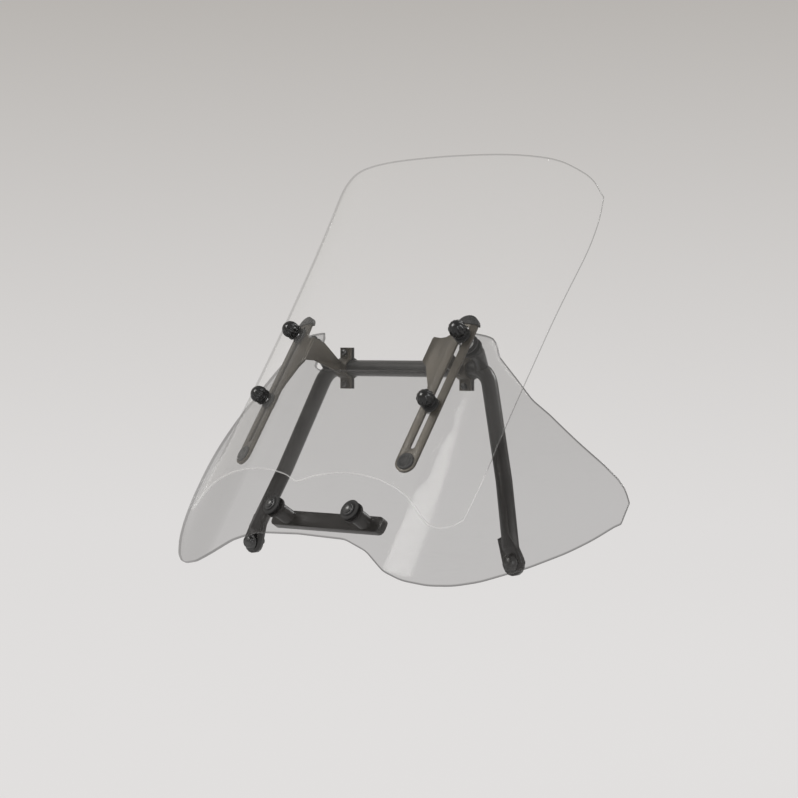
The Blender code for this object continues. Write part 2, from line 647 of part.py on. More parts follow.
def main():
    clear_scene()
    clear = finish("clear_polycarbonate", (0.92, 0.94, 0.93), 0.05, 0.0, 0.15)
    smoke = finish("smoked_polycarbonate", (0.20, 0.19, 0.18), 0.08, 0.0, 0.45)
    black_plastic = finish("black_plastic", (0.012, 0.012, 0.013), 0.22, 0.0)
    rubber = finish("black_rubber", (0.02, 0.02, 0.02), 0.75, 0.0)
    arm_paint = finish("bronze_grey_paint", (0.105, 0.090, 0.068), 0.45, 0.6)
    hoop_paint = finish("dark_satin_paint", (0.045, 0.044, 0.042), 0.42, 0.3)
    bolt_steel = finish("dark_steel", (0.12, 0.12, 0.12), 0.35, 0.9)
    steel = finish("zinc_steel", (0.55, 0.55, 0.56), 0.30, 1.0)

    make_clear_screen(clear)
    for which, side, height, up in KNOB_PLACES:
        make_knob(which, side, height, up, black_plastic, steel, rubber)
        make_clamped(which, side, height, up, rubber, steel)
    make_hoop(hoop_paint, bolt_steel)
    cutter = hide(tube("hoop_room", HOOP_RADIUS + GAP, None, 3))
    make_deflector(smoke)
    for which, side in SIDES.items():
        make_arm(which, side, arm_paint)
        make_clamp(which, side, hoop_paint, bolt_steel)
        make_arm_rubbers(which, side, rubber)
        make_ear_boss(which, side, hoop_paint, cutter)
        make_fixing("ear", which, smoke_frame(side, EAR_BOLT), rubber, steel, 0.015)
        make_fixing("low", which, smoke_frame(side, LOW_BOLT), rubber, bolt_steel, 0.015)
    make_lower_bracket(hoop_paint)


main()
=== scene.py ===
"""Looks of a motorcycle's windshield screen: clear screen, hand knobs, slotted arms, tubular hoop and
smoked deflector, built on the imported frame. Metres, -Y forward, +Z up."""

import json
import math

import bmesh
import bpy
import numpy as np
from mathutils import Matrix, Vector


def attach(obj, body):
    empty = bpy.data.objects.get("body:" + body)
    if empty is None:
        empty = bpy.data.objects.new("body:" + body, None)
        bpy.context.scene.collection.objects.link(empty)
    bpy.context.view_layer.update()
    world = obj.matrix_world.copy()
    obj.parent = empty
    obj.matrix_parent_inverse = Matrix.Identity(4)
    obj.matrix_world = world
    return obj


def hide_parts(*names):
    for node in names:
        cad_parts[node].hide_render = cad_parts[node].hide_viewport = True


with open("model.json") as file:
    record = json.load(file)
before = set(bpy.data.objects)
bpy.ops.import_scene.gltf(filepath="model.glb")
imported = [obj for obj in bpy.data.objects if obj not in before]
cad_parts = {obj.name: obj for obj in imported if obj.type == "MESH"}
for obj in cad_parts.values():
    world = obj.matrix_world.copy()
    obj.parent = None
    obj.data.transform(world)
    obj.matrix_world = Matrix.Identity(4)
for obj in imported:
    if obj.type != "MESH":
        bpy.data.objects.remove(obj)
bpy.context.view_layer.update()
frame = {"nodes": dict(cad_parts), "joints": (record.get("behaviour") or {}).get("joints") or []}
JOINTS = {joint["name"]: joint for joint in frame["joints"]}
SIDES = {"left": 1.0, "right": -1.0}

# The slope on which the arms and the clear screen lean, from the record's own joints
UP = np.array(JOINTS["screen_slide"]["axis"], float)
UP /= np.linalg.norm(UP)
ACROSS = np.array([1.0, 0.0, 0.0])
FORWARD = np.array([0.0, -UP[2], UP[1]])
KNOBS = {}
for height in ("upper", "lower"):
    for which in SIDES:
        turn = JOINTS[f"knob_{height}_{which}_turn"]
        KNOBS[height, which] = (np.array(turn["pos_m"], float), np.array(turn["axis"], float))
KNOB_MIDDLE = (KNOBS["upper", "left"][0] + KNOBS["upper", "right"][0]) / 2
KNOB_HALF = KNOBS["upper", "left"][0][0]
KNOB_PITCH = np.linalg.norm(KNOBS["upper", "left"][0] - KNOBS["lower", "left"][0])
TWIST = math.asin(abs(KNOBS["upper", "left"][1][0]))

KNOB_RADIUS = 0.0095
KNOB_SEAT = 0.0062
GAP = 0.0003  # between pieces that touch
STUD_BORE = 0.0029  # through whatever a stud or a bolt passes
WASHER_THICKNESS = 0.0010
BUSH_THICKNESS = 0.0025
BUSH_RADIUS = 0.0090
SCREEN_THICKNESS = 0.003
SCREEN_MIDDLE = -(KNOB_SEAT + WASHER_THICKNESS + 3 * GAP + SCREEN_THICKNESS / 2)
SCREEN_CROWN = 0.003
SCREEN_HOLLOW = 0.15
SCREEN_TOP = 0.220
SMOKE_THICKNESS = 0.0035
SMOKE_CREASE = 0.138
SMOKE_BULGE = 0.009
SMOKE_SLOPE = 0.625
SMOKE_BACK = -0.1225
WING_SWEEP = 0.34
WING_CURL = 1.2
EAR_BOLT = (0.1235, 0.2215)
LOW_BOLT = (0.061, 0.051)


# ---------------------------------------------------------------- finishes

def socket_group(name, inputs, outputs):
    """An empty node group with named sockets, and its input and output nodes."""
    made = bpy.data.node_groups.new(name, "ShaderNodeTree")
    for label, kind, value in inputs:
        made.interface.new_socket(label, in_out="INPUT", socket_type=kind).default_value = value
    for label, kind in outputs:
        made.interface.new_socket(label, in_out="OUTPUT", socket_type=kind)
    return made, made.nodes.new("NodeGroupInput"), made.nodes.new("NodeGroupOutput")


def noise(tree, scale, detail=4.0, rough=0.55, coordinate=None):
    made = tree.nodes.new("ShaderNodeTexNoise")
    made.inputs["Detail"].default_value = detail
    made.inputs["Roughness"].default_value = rough
    if isinstance(scale, float):
        made.inputs["Scale"].default_value = scale
    else:
        tree.links.new(scale, made.inputs["Scale"])
    where = coordinate or tree.nodes.new("ShaderNodeTexCoord").outputs["Object"]
    tree.links.new(where, made.inputs["Vector"])
    return made.outputs["Fac"]


def spread(tree, value, low, high, to_low, to_high):
    """value taken from low..high to to_low..to_high, held at the ends; the last two may be sockets."""
    made = tree.nodes.new("ShaderNodeMapRange")
    tree.links.new(value, made.inputs["Value"])
    for label, number in (("From Min", low), ("From Max", high), ("To Min", to_low), ("To Max", to_high)):
        if isinstance(number, float):
            made.inputs[label].default_value = number
        else:
            tree.links.new(number, made.inputs[label])
    return made.outputs["Result"]


def blend_colours(tree, share, first, second):
    made = tree.nodes.new("ShaderNodeMix")
    made.data_type = "RGBA"
    tree.links.new(share, made.inputs["Factor"])
    for label, colour in (("A", first), ("B", second)):
        target = [s for s in made.inputs if s.name == label and s.type == "RGBA"][0]
        if isinstance(colour, tuple):
            target.default_value = (*colour, 1.0)
        else:
            tree.links.new(colour, target)
    return [s for s in made.outputs if s.type == "RGBA"][0]


def mottle_group():
    """Slow cloudy variation of a colour and its roughness, with a fine grain for the bump."""
    tree, given, out = socket_group(
        "mottle",
        [("Colour", "NodeSocketColor", (0.1, 0.1, 0.1, 1)),
         ("Faded", "NodeSocketColor", (0.2, 0.2, 0.2, 1)), ("Cloud Scale", "NodeSocketFloat", 30.0),
         ("Grain Scale", "NodeSocketFloat", 900.0), ("Smooth", "NodeSocketFloat", 0.3),
         ("Dull", "NodeSocketFloat", 0.5)],
        [("Colour", "NodeSocketColor"), ("Roughness", "NodeSocketFloat"), ("Height", "NodeSocketFloat")])
    cloud = noise(tree, given.outputs["Cloud Scale"], 5.0)
    grain = noise(tree, given.outputs["Grain Scale"], 3.0, 0.6)
    share = spread(tree, cloud, 0.35, 0.75, 0.0, 1.0)
    colour = blend_colours(tree, share, given.outputs["Colour"], given.outputs["Faded"])
    tree.links.new(colour, out.inputs["Colour"])
    rough = spread(tree, cloud, 0.30, 0.70, given.outputs["Smooth"], given.outputs["Dull"])
    tree.links.new(rough, out.inputs["Roughness"])
    tree.links.new(grain, out.inputs["Height"])
    return tree


def wipe_group():
    """Faint wipe marks and dust on a glossy sheet: a stretched noise times a cloud."""
    tree, given, out = socket_group(
        "wipe_marks",
        [("Scale", "NodeSocketFloat", 18.0), ("Clean", "NodeSocketFloat", 0.04),
         ("Dusty", "NodeSocketFloat", 0.16)],
        [("Roughness", "NodeSocketFloat"), ("Dust", "NodeSocketFloat")])
    where = tree.nodes.new("ShaderNodeTexCoord")
    lay = tree.nodes.new("ShaderNodeMapping")
    lay.inputs["Rotation"].default_value = (0.6, 0.2, 0.9)
    lay.inputs["Scale"].default_value = (1.0, 1.0, 9.0)
    tree.links.new(where.outputs["Object"], lay.inputs["Vector"])
    streak = noise(tree, 60.0, 4.0, 0.6, lay.outputs["Vector"])
    cloud = noise(tree, given.outputs["Scale"], 3.0)
    both = tree.nodes.new("ShaderNodeMath")
    both.operation = "MULTIPLY"
    tree.links.new(streak, both.inputs[0])
    tree.links.new(cloud, both.inputs[1])
    tree.links.new(spread(tree, both.outputs[0], 0.15, 0.45, given.outputs["Clean"],
                          given.outputs["Dusty"]),
                   out.inputs["Roughness"])
    tree.links.new(spread(tree, both.outputs[0], 0.25, 0.50, 0.0, 1.0), out.inputs["Dust"])
    return tree


MOTTLE = mottle_group()
WIPE = wipe_group()


def principled(name):
    made = bpy.data.materials.new(name)
    made.use_nodes = True
    return made, made.node_tree, made.node_tree.nodes["Principled BSDF"]


def use_group(tree, group, **values):
    made = tree.nodes.new("ShaderNodeGroup")
    made.node_tree = group
    for label, value in values.items():
        made.inputs[label.replace("_", " ")].default_value = value
    return made


def solid_finish(name, colour, faded, metallic, smooth, dull, cloud, grain, bump, coat=0.0):
    """A painted, rubber, plastic or metal finish with cloudy tone, uneven gloss and a fine grain."""
    made, tree, shader = principled(name)
    group = use_group(tree, MOTTLE, Colour=(*colour, 1), Faded=(*faded, 1), Cloud_Scale=cloud,
                      Grain_Scale=grain, Smooth=smooth, Dull=dull)
    tree.links.new(group.outputs["Colour"], shader.inputs["Base Color"])
    tree.links.new(group.outputs["Roughness"], shader.inputs["Roughness"])
    shader.inputs["Metallic"].default_value = metallic
    shader.inputs["Coat Weight"].default_value = coat
    shader.inputs["Coat Roughness"].default_value = 0.15
    raised = tree.nodes.new("ShaderNodeBump")
    raised.inputs["Strength"].default_value = bump
    raised.inputs["Distance"].default_value = 0.0002
    tree.links.new(group.outputs["Height"], raised.inputs["Height"])
    tree.links.new(raised.outputs["Normal"], shader.inputs["Normal"])
    return made


def sheet_finish(name, colour, upper_edge_painted_shade, lower_edge_painted_highlight, cover, edge_cover, glance, smooth, dusty,
                 dust_cover):
    """A see-through sheet: thin cover face on, more at a glance and on its edge, coloured with painted
    light: a dark line of painted shade along the upper edges and a painted highlight along the lower edge.
    """
    made, tree, shader = principled(name)
    wipe = use_group(tree, WIPE, Clean=smooth, Dusty=dusty)
    edge = tree.nodes.new("ShaderNodeAttribute")
    edge.attribute_name = "rim"
    shader.inputs["IOR"].default_value = 1.49
    tree.links.new(wipe.outputs["Roughness"], shader.inputs["Roughness"])
    where = tree.nodes.new("ShaderNodeTexCoord")
    apart = tree.nodes.new("ShaderNodeSeparateXYZ")
    tree.links.new(where.outputs["Object"], apart.inputs["Vector"])
    # Painted edge light: the rim gets a dark line of painted shade on the upper edges and a bright painted
    # highlight on the lower edge, switching over z 0.088 to 0.104.
    height = spread(tree, apart.outputs["Z"], 0.088, 0.104, 0.0, 1.0)
    painted_edge_light = blend_colours(tree, height, lower_edge_painted_highlight, upper_edge_painted_shade)
    tree.links.new(blend_colours(tree, edge.outputs["Fac"], colour, painted_edge_light), shader.inputs["Base Color"])
    facing = tree.nodes.new("ShaderNodeLayerWeight")
    facing.inputs["Blend"].default_value = 0.35
    slanting = spread(tree, facing.outputs["Facing"], 0.35, 1.0, cover, glance)
    dust = tree.nodes.new("ShaderNodeMath")
    dust.operation = "MULTIPLY_ADD"
    dust.inputs[1].default_value = dust_cover
    tree.links.new(wipe.outputs["Dust"], dust.inputs[0])
    tree.links.new(slanting, dust.inputs[2])
    last = spread(tree, edge.outputs["Fac"], 0.0, 1.0, dust.outputs[0], edge_cover)
    tree.links.new(last, shader.inputs["Alpha"])
    return made


# The two edge colours after the face colour are painted light: a dark line of painted shade along the upper
# edges, then a painted highlight along the lower edge.
CLEAR = sheet_finish("clear_polycarbonate_finish", (0.62, 0.62, 0.61), (0.10, 0.098, 0.094),
                     (0.86, 0.86, 0.85), 0.022, 0.34, 0.30, 0.03, 0.06, 0.010)
SMOKE = sheet_finish("smoked_polycarbonate_finish", (0.034, 0.031, 0.029), (0.028, 0.026, 0.025),
                     (0.05, 0.048, 0.046), 0.175, 0.60, 0.40, 0.05, 0.11, 0.012)
KNOB = solid_finish("knob_plastic_finish", (0.006, 0.006, 0.006), (0.012, 0.012, 0.012), 0.0, 0.16, 0.30,
                    160.0, 2600.0, 0.10)
RUBBER = solid_finish("rubber_finish", (0.008, 0.008, 0.008), (0.018, 0.0175, 0.017), 0.0, 0.55, 0.78,
                      120.0, 3200.0, 0.30)
ARM = solid_finish("arm_powder_coat", (0.040, 0.033, 0.023), (0.062, 0.051, 0.035), 0.30, 0.32, 0.46, 55.0,
                   2200.0, 0.40)
HOOP = solid_finish("hoop_satin_paint", (0.014, 0.0135, 0.013), (0.024, 0.023, 0.022), 0.10, 0.28, 0.42,
                    40.0, 1800.0, 0.25, 0.15)
DARK_STEEL = solid_finish("blackened_steel", (0.07, 0.07, 0.07), (0.12, 0.12, 0.12), 0.9, 0.28, 0.45,
                          200.0, 2400.0, 0.20)
ZINC = solid_finish("zinc_plate", (0.42, 0.42, 0.43), (0.60, 0.60, 0.58), 1.0, 0.22, 0.38, 180.0, 2400.0,
                    0.15)


# ---------------------------------------------------------------- meshes from arrays

def piece(name, points, faces, material, body, replaced, rim=None, sharp=50):
    """One closed mesh from arrays, riding on a body and standing for a CAD node."""
    mesh = bpy.data.meshes.new(name)
    mesh.from_pydata(points.reshape(-1, 3).tolist(), [], faces.tolist())
    if rim is not None:
        mesh.attributes.new("rim", "FLOAT", "POINT").data.foreach_set("value", rim.astype(np.float32))
    bm = bmesh.new()
    bm.from_mesh(mesh)
    bmesh.ops.remove_doubles(bm, verts=bm.verts, dist=2e-6)
    bmesh.ops.dissolve_degenerate(bm, edges=bm.edges, dist=1e-7)
    bmesh.ops.recalc_face_normals(bm, faces=bm.faces)
    bm.to_mesh(mesh)
    bm.free()
    mesh.materials.append(material)
    mesh.shade_smooth()
    mesh.set_sharp_from_angle(angle=math.radians(sharp))
    made = bpy.data.objects.new(name, mesh)
    bpy.context.scene.collection.objects.link(made)
    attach(made, body)
    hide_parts(*replaced)
    return made


def unit(vectors):
    return vectors / np.linalg.norm(vectors, axis=-1, keepdims=True)


def frame_axes(axis):
    """Unit x, y and z of a frame whose z is the axis and whose y is near the slope's."""
    z = unit(np.asarray(axis, float))
    x = unit(np.cross(UP, z))
    return x, np.cross(z, x), z


def turned(name, origin, axis, radii, heights, material, body, replaced, around=64, lobes=0,
           depth=0.0):
    """A closed profile turned round an axis. Point = origin + r(t) (1 - depth w(t) (1 - cos lobes a) / 2)
    (x cos a + y sin a) + h(t) z, with w the profile's share of its greatest radius, so the flutes die out
    at the pole."""
    radii, heights = np.asarray(radii), np.asarray(heights)
    x, y, z = frame_axes(axis)
    angle = np.linspace(0, 2 * np.pi, around, endpoint=False)
    flute = 1 - depth * np.outer(fluted_share(heights), (1 - np.cos(lobes * angle)) / 2) if lobes else 1.0
    reach = radii[:, None] * flute * np.ones(around)
    points = (origin + reach[..., None] * (np.cos(angle)[:, None] * x + np.sin(angle)[:, None] * y)
              + heights[:, None, None] * z)
    rows, columns = np.meshgrid(np.arange(len(radii)), np.arange(around), indexing="ij")
    following = (rows + 1) % len(radii)
    aside = (columns + 1) % around
    faces = np.stack([rows * around + columns, rows * around + aside, following * around + aside,
                      following * around + columns], -1).reshape(-1, 4)
    keep = np.ones(faces.shape[0], bool)
    open_profile = radii[0] < 1e-9 and radii[-1] < 1e-9
    if open_profile:
        keep = rows.reshape(-1) < len(radii) - 1
    return piece(name, points, faces[keep], material, body, replaced)


def fluted_share(heights):
    """How deep the knob's flutes are at a height: full round the ball's middle, none at its pole or
    flange."""
    return np.clip((heights + 0.0046) / 0.0015, 0, 1) * np.clip((0.0086 - heights) / 0.0030, 0, 1)


def rounded(corners, radius, steps=5):
    """A profile's (radius, height) corners, each but the ends' eased with a quadratic curve."""
    corners = np.asarray(corners, float)
    found = [corners[:1]]
    t = np.linspace(0, 1, steps)[:, None]
    for before, corner, after in zip(corners, corners[1:], corners[2:]):
        into, out = before - corner, after - corner
        reach = min(radius, 0.45 * np.linalg.norm(into), 0.45 * np.linalg.norm(out))
        start = corner + reach * into / np.linalg.norm(into)
        end = corner + reach * out / np.linalg.norm(out)
        found.append((1 - t) ** 2 * start + 2 * t * (1 - t) * corner + t ** 2 * end)
    found.append(corners[-1:])
    return np.concatenate(found).T


def ring(corners, radius):
    """A closed profile, eased at every corner."""
    corners = list(corners)
    middle = [(corners[0][0] + corners[-1][0]) / 2, (corners[0][1] + corners[-1][1]) / 2]
    return rounded([middle] + corners + [middle], radius)[:, :-1]


def edge_height(points, across, ease):
    """Height of an outline at |across|: straight runs between its points, averaged over a short stretch."""
    known = np.array(points)
    shifts = np.linspace(-ease, ease, 9)[:, None]
    side = np.abs(np.abs(across)[None, :] + shifts)
    return np.interp(np.minimum(side, known[-1, 0]), known[:, 0], known[:, 1]).mean(0)


def shell(name, middle, thickness, holes, material, body, replaced):
    """A sheet of even thickness round a grid of middle points, with a half-round edge and eight-sided
    holes that lie under washers. Face point = middle + n thickness / 2, edge point = middle + (n cos a +
    o sin a) thickness / 2, with n the grid's normal and o the way out of the sheet."""
    rows, columns = middle.shape[:2]
    normal = unit(np.cross(np.gradient(middle, axis=0), np.gradient(middle, axis=1)))
    normal *= np.where(normal[..., 1:2] > 0, -1.0, 1.0)
    middle = middle.copy()
    cells = np.ones((rows - 1, columns - 1), bool)
    walls = []
    turns = [(1, 0), (1, 1), (0, 1), (-1, 1), (-1, 0), (-1, -1), (0, -1), (1, -1)]
    for centre, radius in holes:
        i, j = np.unravel_index(np.argmin(np.linalg.norm(middle - centre, axis=-1)), (rows, columns))
        n = normal[i, j]
        along_i = unit(middle[i + 1, j] - middle[i - 1, j])
        along_j = np.cross(n, along_i)
        along_j *= np.sign(along_j @ (middle[i, j + 1] - middle[i, j - 1]))
        at = centre - n * ((centre - middle[i, j]) @ n)
        for k, (di, dj) in enumerate(turns):
            angle = k * math.pi / 4
            spot = at + radius * (math.cos(angle) * along_i + math.sin(angle) * along_j)
            middle[i + di, j + dj] = spot
        cells[i - 1:i + 1, j - 1:j + 1] = False
        walls.append([(i + di) * columns + j + dj for di, dj in turns])
    count = rows * columns
    half = thickness / 2
    index = np.arange(count).reshape(rows, columns)
    quads = np.stack([index[:-1, :-1], index[1:, :-1], index[1:, 1:], index[:-1, 1:]], -1)[cells]
    loop = np.concatenate([index[0, :-1], index[:-1, -1], index[-1, :0:-1], index[:0:-1, 0]])
    inner = np.concatenate([index[1, :-1], index[:-1, -2], index[-2, :0:-1], index[:0:-1, 1]])
    flat, flat_normal = middle.reshape(-1, 3), normal.reshape(-1, 3)
    n = flat_normal[loop]
    out = np.cross(np.roll(flat[loop], -1, 0) - np.roll(flat[loop], 1, 0), n)
    out = unit(out * np.sign((out * (flat[loop] - flat[inner])).sum(1, keepdims=True)))
    angles = np.radians([36.0, 72.0, 108.0, 144.0])
    rims = [flat[loop] + half * (math.cos(a) * n + math.sin(a) * out) for a in angles]
    points = np.concatenate([flat + half * flat_normal, flat - half * flat_normal, *rims])
    rim = np.zeros(len(points))
    rim[2 * count:] = 1.0
    levels = [loop] + [2 * count + k * len(loop) + np.arange(len(loop)) for k in range(4)] + [loop + count]
    bands = [np.stack([a, np.roll(a, -1), np.roll(b, -1), b], 1) for a, b in zip(levels, levels[1:])]
    for wall in map(np.array, walls):
        following = np.roll(wall, -1)
        bands.append(np.stack([wall, following, following + count, wall + count], 1))
    faces = np.concatenate([quads, quads[:, ::-1] + count, *bands])
    used = np.unique(faces)
    place = np.zeros(len(points), int)
    place[used] = np.arange(len(used))
    return piece(name, points[used], place[faces], material, body, replaced, rim[used])


# ---------------------------------------------------------------- the two sheets

SCREEN_HALF = 0.209
SCREEN_UPPER_EDGE = [(0.0, 0.0), (0.150, -0.0015), (0.166, -0.003), (0.181, -0.007), (0.193, -0.011),
                     (0.202, -0.018), (0.209, -0.030)]
SCREEN_LOWER_EDGE = [(0.0, -0.192), (0.008, -0.189), (0.022, -0.1835), (0.045, -0.179), (0.067, -0.177),
                     (0.090, -0.1775), (0.115, -0.1805), (0.138, -0.1865), (0.155, -0.1935),
                     (0.168, -0.2025), (0.178, -0.2115), (0.186, -0.2165), (0.196, -0.2155),
                     (0.2045, -0.208), (0.209, -0.198)]
SCREEN_WAIST = [(-0.22, 0.990), (-0.16, 0.995), (-0.09, 0.985), (-0.03, 0.985), (0.05, 0.990),
                (0.12, 1.010), (0.15, 1.018), (0.19, 1.000), (0.22, 0.972)]


def dense_at_ends(count, half, share=0.3):
    """Stations from -half to half, closer together near both ends: half ((1 + share) s - share s^3)."""
    s = np.linspace(-1, 1, count)
    return half * ((1 + share) * s - share * s ** 3)


def clear_surface(across, along):
    """Middle surface over the slope: it falls back by crown (q - 1) + curl (q^2 - 1), with q the squared
    share of the way to the knobs, and comes forward by hollow ((along + m)^2 - m^2), with m half the
    knobs' pitch."""
    hole_across = KNOB_HALF + SCREEN_MIDDLE * math.sin(TWIST)
    curl = (math.tan(TWIST) * hole_across - 2 * SCREEN_CROWN) / 4
    q = (across / hole_across) ** 2
    m = KNOB_PITCH / 2
    fall = SCREEN_CROWN * (q - 1) + curl * (q ** 2 - 1)
    proud = SCREEN_MIDDLE * math.cos(TWIST) - fall + SCREEN_HOLLOW * ((along + m) ** 2 - m ** 2)
    return KNOB_MIDDLE + across[..., None] * ACROSS + along[..., None] * UP + proud[..., None] * FORWARD


def make_clear_screen():
    x = dense_at_ends(113, SCREEN_HALF, 0.35)[:, None]
    top = SCREEN_TOP + edge_height(SCREEN_UPPER_EDGE, x[:, 0], 0.004)[:, None]
    low = edge_height(SCREEN_LOWER_EDGE, x[:, 0], 0.002)[:, None]
    t = (dense_at_ends(93, 0.5, 0.25) + 0.5)[None, :]
    along = low + (top - low) * t
    waist = np.array(SCREEN_WAIST)
    shifts = np.linspace(-0.03, 0.03, 7)[:, None, None]
    shifted = along[None] + shifts
    width = np.interp(shifted.ravel(), waist[:, 0], waist[:, 1]).reshape(shifted.shape).mean(0)
    across = x * width
    middle = clear_surface(across, along)
    holes = [(centre + SCREEN_MIDDLE * axis, 0.0036) for centre, axis in KNOBS.values()]
    shell("clear_screen_shell", middle, SCREEN_THICKNESS, holes, CLEAR, "screen",
          ["clear_screen"])


SMOKE_UPPER_EDGE = [(0.0, 0.194), (0.088, 0.194), (0.099, 0.197), (0.1035, 0.208), (0.1055, 0.226),
                    (0.110, 0.2350), (0.125, 0.2335), (0.138, 0.2315), (0.1465, 0.2290), (0.1535, 0.2225),
                    (0.161, 0.2105), (0.189, 0.187), (0.2125, 0.166), (0.2345, 0.151), (0.270, 0.1235),
                    (0.297, 0.103), (0.314, 0.0885), (0.324, 0.077), (0.330, 0.065)]
SMOKE_LOWER_EDGE = [(0.0, 0.026), (0.070, 0.024), (0.105, 0.014), (0.138, -0.004), (0.161, -0.012),
                    (0.189, -0.016), (0.2125, -0.0155), (0.2345, -0.011), (0.270, 0.003), (0.297, 0.018),
                    (0.314, 0.031), (0.330, 0.048)]


def smoke_surface(across, up):
    """Middle surface: y = back + slope z + s, with s = bulge ((x / crease)^2 - 1) on the front panel, and
    sweep d + curl d^2 on a wing, d beyond the crease."""
    side = np.abs(across)
    panel = SMOKE_BULGE * ((side / SMOKE_CREASE) ** 2 - 1)
    out = side - SMOKE_CREASE
    wing = WING_SWEEP * out + WING_CURL * out ** 2
    section = np.where(out > 0, wing, panel)
    return np.stack([across, SMOKE_BACK + SMOKE_SLOPE * up + section, up], -1)


def smoke_normal(place, side):
    """Way out of the deflector's front at a bolt."""
    step = 1e-4
    x, z = np.array([side * place[0]]), np.array([place[1]])
    wide = smoke_surface(x + step, z) - smoke_surface(x - step, z)
    high = smoke_surface(x, z + step) - smoke_surface(x, z - step)
    normal = unit(np.cross(wide, high))[0]
    return normal if normal[1] < 0 else -normal


def smoke_spot(place, side):
    return smoke_surface(np.array([side * place[0]]), np.array([place[1]]))[0]


def make_deflector():
    wing = SMOKE_UPPER_EDGE[-1][0]
    evenly = np.linspace(0, wing, 84)
    half = np.unique(np.round(np.concatenate([evenly, [0.1035, 0.1045, 0.1055, SMOKE_CREASE]]), 6))
    half = half[np.concatenate([[True], np.diff(half) > 0.0009])]
    x = np.concatenate([-half[:0:-1], half])
    top = edge_height(SMOKE_UPPER_EDGE, x, 0.0015)[:, None]
    low = edge_height(SMOKE_LOWER_EDGE, x, 0.006)[:, None]
    t = np.linspace(0, 1, 43)[None, :]
    up = low + (top - low) * t
    middle = smoke_surface(np.broadcast_to(x[:, None], up.shape), up)
    holes = [(smoke_spot(place, side), 0.0086) for place in (EAR_BOLT, LOW_BOLT) for side in SIDES.values()]
    shell("smoked_deflector_shell", middle, SMOKE_THICKNESS, holes, SMOKE, "frame",
          ["smoked_deflector"])


# ---------------------------------------------------------------- turned pieces

def make_knobs():
    """Ball heads with twelve flutes over a short flange, each with its blind bore for the stud."""
    angle = np.radians(np.linspace(0, 121, 34))
    ball = np.stack([KNOB_RADIUS * np.sin(angle), KNOB_RADIUS * np.cos(angle)], 1)
    base = rounded([ball[-1], (0.0090, -0.0050), (0.0090, -KNOB_SEAT), (STUD_BORE, -KNOB_SEAT),
                    (STUD_BORE, -0.0040), (0.0, -0.0040)], 0.0005).T
    radii, heights = np.concatenate([ball, base[1:]]).T
    radii[0] = radii[-1] = 0.0
    for (height, which), (centre, axis) in KNOBS.items():
        turned(f"knob_head_{height}_{which}", centre, axis, radii, heights, KNOB,
               f"knob_{height}_{which}_body", [f"knob_{height}_{which}"], 144, 12, 0.13)


def make_bushes():
    """Soft washers under the knobs and bushes behind the screen, with eased rims."""
    washer = (-KNOB_SEAT - GAP, -KNOB_SEAT - GAP - WASHER_THICKNESS)
    bush_face = SCREEN_MIDDLE - SCREEN_THICKNESS / 2 - 2 * GAP
    bush = (bush_face, bush_face - BUSH_THICKNESS)
    for (height, which), (centre, axis) in KNOBS.items():
        for name, (front, back) in (("knob_washer", washer), ("screen_bush", bush)):
            corners = [(STUD_BORE, front), (BUSH_RADIUS, front), (BUSH_RADIUS, back), (STUD_BORE, back)]
            radii, heights = ring(corners, 0.0004)
            turned(f"{name}_soft_{height}_{which}", centre, axis, radii, heights, RUBBER, "screen",
                   [f"{name}_{height}_{which}"])


def make_grommets():
    """Rubber grommets in the deflector: a waist in the hole between two rolled lips."""
    clear = SMOKE_THICKNESS / 2 + 0.0004
    front, back = clear + 0.0026, -clear - 0.0045
    lip, hub, bore = 0.0115, 0.0075, STUD_BORE
    radii, heights = ring([(bore, front), (0.0078, front), (0.0086, front - 0.0006), (lip, front - 0.0009),
                           (lip, clear), (hub, clear), (hub, -clear), (lip, -clear), (lip, back + 0.001),
                           (lip - 0.002, back), (bore, back)], 0.0009)
    for prefix, place in (("ear", EAR_BOLT), ("low", LOW_BOLT)):
        for which, side in SIDES.items():
            turned(f"{prefix}_grommet_soft_{which}", smoke_spot(place, side), smoke_normal(place, side),
                   radii, heights, RUBBER, "frame", [f"{prefix}_grommet_{which}"], 72)


# ---------------------------------------------------------------- CAD nodes that stay

def finish_of(node):
    """The finish of a CAD node that is shown as it is."""
    starts = (("knob_stud", ZINC), ("slot_nut", ZINC), ("ear_bolt", ZINC), ("ear_washer", ZINC),
              ("arm_cap", RUBBER), ("arm_buffer", RUBBER), ("arm_", ARM), ("hoop", HOOP),
              ("clamp_back", HOOP), ("ear_boss", HOOP), ("lower_bracket", HOOP), ("", DARK_STEEL))
    return next(finish for start, finish in starts if node.startswith(start))


def ease_node(node, width):
    """Welds the node's triangles and rounds its real edges."""
    thing = frame["nodes"][node]
    weld = thing.modifiers.new("weld", "WELD")
    weld.merge_threshold = 1e-5
    if width:
        bevel = thing.modifiers.new("eased_edges", "BEVEL")
        bevel.width = width
        bevel.segments = 2
        bevel.limit_method = "ANGLE"
        bevel.angle_limit = math.radians(38)
        bevel.harden_normals = False
    thing.data.shade_smooth()
    thing.data.set_sharp_from_angle(angle=math.radians(38))


def finish_nodes():
    for node, thing in frame["nodes"].items():
        thing.data.materials.clear()
        thing.data.materials.append(finish_of(node))
        wide = node.startswith(("arm_left", "arm_right", "clamp_back", "lower_bracket"))
        ease_node(node, 0.0005 if wide else 0.0)


# ---------------------------------------------------------------- stage, light and camera

CAMERA_AZIMUTH = math.radians(46.0)
CAMERA_RISE = math.radians(1.27)
CAMERA_DISTANCE = 2.7919
CAMERA_LENS = 117.29
CAMERA_ASIDE = (-0.03011, 0.07517)


def camera_axes():
    """Unit vectors along the view, to its right and up."""
    a, e = CAMERA_AZIMUTH, CAMERA_RISE
    ahead = np.array([-math.sin(a) * math.cos(e), math.cos(a) * math.cos(e), -math.sin(e)])
    right = np.array([math.cos(a), math.sin(a), 0.0])
    return ahead, right, np.cross(right, ahead)


